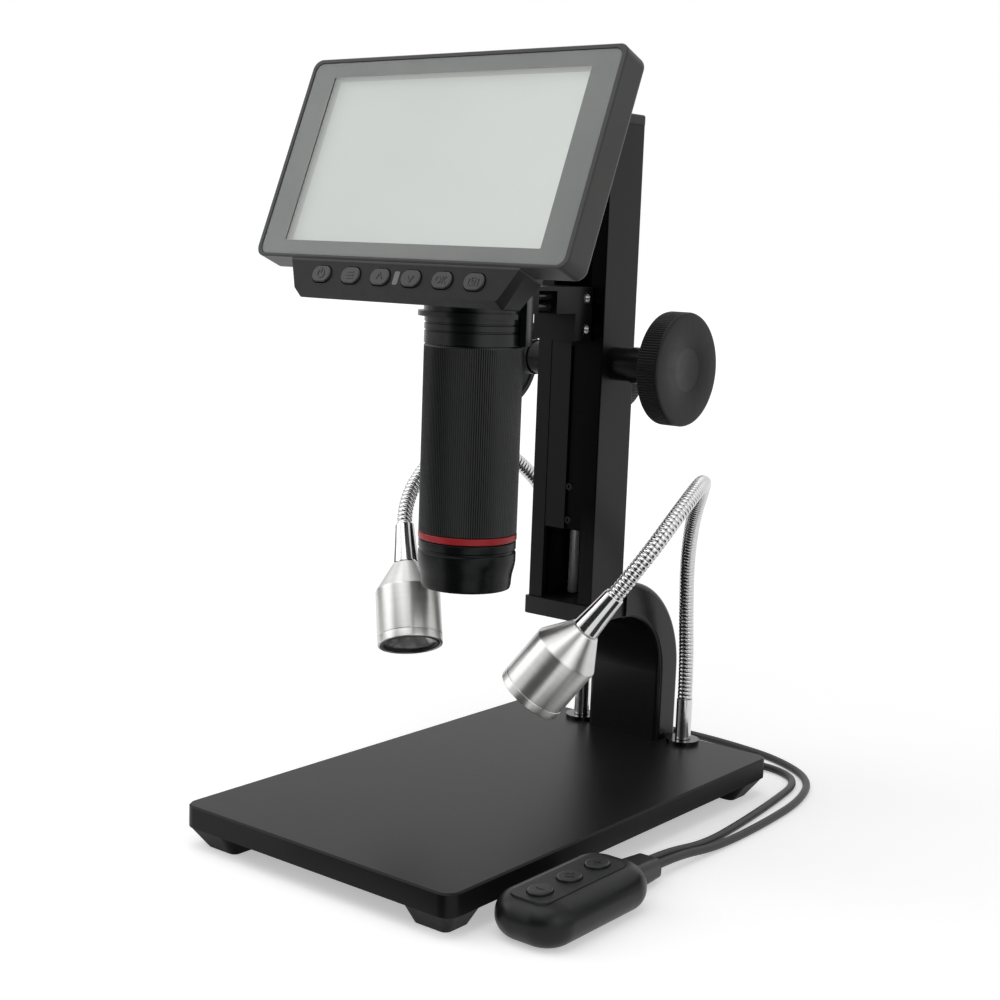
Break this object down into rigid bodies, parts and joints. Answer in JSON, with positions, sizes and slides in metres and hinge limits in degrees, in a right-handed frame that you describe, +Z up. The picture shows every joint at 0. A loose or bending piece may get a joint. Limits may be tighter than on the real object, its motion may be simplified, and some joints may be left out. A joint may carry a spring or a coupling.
{
  "type": "lcd digital microscope",
  "caption": "Desktop digital microscope with a tilted display on the camera barrel, rack-driven column stand, flat base, gooseneck lamps and an inline lamp controller.",
  "frame": {"origin": "on the surface it stands on, under the middle of the base plate", "axes": "+X to the user's right, +Y away from the user, +Z up"},
  "size_m": [0.1581, 0.2802, 0.2722],
  "materials": {
    "matte_black_paint": "fine powder coat",
    "gloss_black_paint": "gloss enamel",
    "black_anodised": "satin black anodised",
    "barrel_black": "semi-gloss black anodised, finely ribbed",
    "red_anodised": "satin red anodised",
    "black_plastic": "satin moulded",
    "knob_plastic": "satin moulded",
    "foot_plastic": "moulded",
    "screen_plastic": "satin moulded",
    "key_plastic": "satin, with plain raised marks",
    "window_plastic": "smoked",
    "lcd": "unlit display",
    "board": "printed circuit",
    "screen_glass": "clear with a printed dark border",
    "lens_glass": "coated",
    "lamp_glass": "clear moulded",
    "guide_steel": "ground",
    "screw_steel": "bright zinc plated",
    "drive_steel": "machined",
    "neck_chrome": "bright, ribbed",
    "lamp_aluminium": "turned and brushed",
    "controller_plastic": "satin moulded",
    "cover_plastic": "fine grained",
    "controller_key": "silicone",
    "cord_rubber": "smooth jacket",
    "plug_plastic": "moulded, with a steel blade"
  },
  "bodies": {
    "stand": {"base_plate": "matte_black_paint", "base_feet": "foot_plastic", "stand_bracket": "gloss_black_paint", "bracket_bolts": "screw_steel", "column": "black_anodised", "column_bottom_cap": "black_plastic", "column_top_cap": "black_plastic", "guide_strip": "guide_steel", "drive_collars": "black_anodised", "neck_sockets": "neck_chrome", "cord_guide": "black_plastic", "controller_case": "controller_plastic", "controller_cover": "cover_plastic", "lamp_cord": "cord_rubber", "usb_cord": "cord_rubber", "usb_coil": "cord_rubber", "usb_plug": "plug_plastic"},
    "carriage": {"carriage": "black_anodised", "gear_rack": "drive_steel", "bracket_screws": "screw_steel", "head_bracket": "black_anodised", "saddle": "barrel_black", "saddle_studs": "screw_steel", "head_housing": "barrel_black", "lens_tube": "barrel_black", "sensor_board": "board", "objective_lens": "lens_glass", "lens_hood": "barrel_black", "screen_bezel": "screen_plastic", "screen_rear_cover": "screen_plastic", "cover_screws": "screw_steel", "cover_glass": "screen_glass", "lcd_panel": "lcd", "main_board": "board", "status_window": "window_plastic"},
    "drive": {"pinion_shaft": "drive_steel", "knob_right": "knob_plastic", "knob_left": "knob_plastic"},
    "tension": {"tension_knob": "knob_plastic"},
    "focus": {"focus_sleeve": "barrel_black", "accent_ring": "red_anodised"},
    "power_button": {"power_button": "key_plastic"},
    "menu_button": {"menu_button": "key_plastic"},
    "up_button": {"up_button": "key_plastic"},
    "down_button": {"down_button": "key_plastic"},
    "ok_button": {"ok_button": "key_plastic"},
    "camera_button": {"camera_button": "key_plastic"},
    "dim_button": {"dim_button": "controller_key"},
    "switch_button": {"switch_button": "controller_key"},
    "bright_button": {"bright_button": "controller_key"},
    "neck_left": {"neck_lower_left": "neck_chrome"},
    "lamp_left": {"neck_upper_left": "neck_chrome", "lamp_ferrule_left": "neck_chrome", "lamp_housing_left": "lamp_aluminium", "lamp_lens_left": "lamp_glass"},
    "neck_right": {"neck_lower_right": "neck_chrome"},
    "lamp_right": {"neck_upper_right": "neck_chrome", "lamp_ferrule_right": "neck_chrome", "lamp_housing_right": "lamp_aluminium", "lamp_lens_right": "lamp_glass"}
  },
  "joints": [
    {"name": "carriage_slide", "type": "slide", "parent": "stand", "child": "carriage", "axis": [0, 0, 1], "range_m": [-0.01, 0.05]},
    {"name": "knob_turn", "type": "hinge", "parent": "stand", "child": "drive", "pos_m": [0, 0.0452, 0.1679], "axis": [1, 0, 0], "range_deg": [-770, 160]},
    {"name": "tension_turn", "type": "hinge", "parent": "stand", "child": "tension", "pos_m": [0, 0.062, 0.161], "axis": [0, 1, 0], "range_deg": [-180, 180]},
    {"name": "focus_turn", "type": "hinge", "parent": "carriage", "child": "focus", "pos_m": [0, -0.021, 0.14], "axis": [0, 0, 1], "range_deg": [-150, 150]},
    {"name": "power_press", "type": "slide", "parent": "carriage", "child": "power_button", "axis": [0, 0.9267, -0.3757], "range_m": [0, 0.0008], "stiffness_N_per_m": 500, "springref_m": -0.0005},
    {"name": "menu_press", "type": "slide", "parent": "carriage", "child": "menu_button", "axis": [0, 0.9267, -0.3757], "range_m": [0, 0.0008], "stiffness_N_per_m": 500, "springref_m": -0.0005},
    {"name": "up_press", "type": "slide", "parent": "carriage", "child": "up_button", "axis": [0, 0.9267, -0.3757], "range_m": [0, 0.0008], "stiffness_N_per_m": 500, "springref_m": -0.0005},
    {"name": "down_press", "type": "slide", "parent": "carriage", "child": "down_button", "axis": [0, 0.9267, -0.3757], "range_m": [0, 0.0008], "stiffness_N_per_m": 500, "springref_m": -0.0005},
    {"name": "ok_press", "type": "slide", "parent": "carriage", "child": "ok_button", "axis": [0, 0.9267, -0.3757], "range_m": [0, 0.0008], "stiffness_N_per_m": 500, "springref_m": -0.0005},
    {"name": "camera_press", "type": "slide", "parent": "carriage", "child": "camera_button", "axis": [0, 0.9267, -0.3757], "range_m": [0, 0.0008], "stiffness_N_per_m": 500, "springref_m": -0.0005},
    {"name": "dim_press", "type": "slide", "parent": "stand", "child": "dim_button", "axis": [0, 0, -1], "range_m": [0, 0.0008], "stiffness_N_per_m": 500, "springref_m": -0.0005},
    {"name": "switch_press", "type": "slide", "parent": "stand", "child": "switch_button", "axis": [0, 0, -1], "range_m": [0, 0.0008], "stiffness_N_per_m": 500, "springref_m": -0.0005},
    {"name": "bright_press", "type": "slide", "parent": "stand", "child": "bright_button", "axis": [0, 0, -1], "range_m": [0, 0.0008], "stiffness_N_per_m": 500, "springref_m": -0.0005},
    {"name": "neck_swing_left", "type": "hinge", "parent": "stand", "child": "neck_left", "pos_m": [-0.025, 0.0897, 0.0333], "axis": [0, 0, 1], "range_deg": [-40, 0]},
    {"name": "neck_bend_left", "type": "hinge", "parent": "neck_left", "child": "lamp_left", "pos_m": [-0.0396, 0.0578, 0.1258], "axis": [-0.9994, 0.034, 0], "range_deg": [-15, 8]},
    {"name": "neck_swing_right", "type": "hinge", "parent": "stand", "child": "neck_right", "pos_m": [0.025, 0.0897, 0.0333], "axis": [0, 0, 1], "range_deg": [-2, 40]},
    {"name": "neck_bend_right", "type": "hinge", "parent": "neck_right", "child": "lamp_right", "pos_m": [0.0524, 0.0489, 0.1257], "axis": [-0.9961, -0.0888, 0], "range_deg": [-15, 15]}
  ],
  "couplings": [
    {"joint": "knob_turn", "follows": "carriage_slide", "rad_per_m": -266.67}
  ]
}
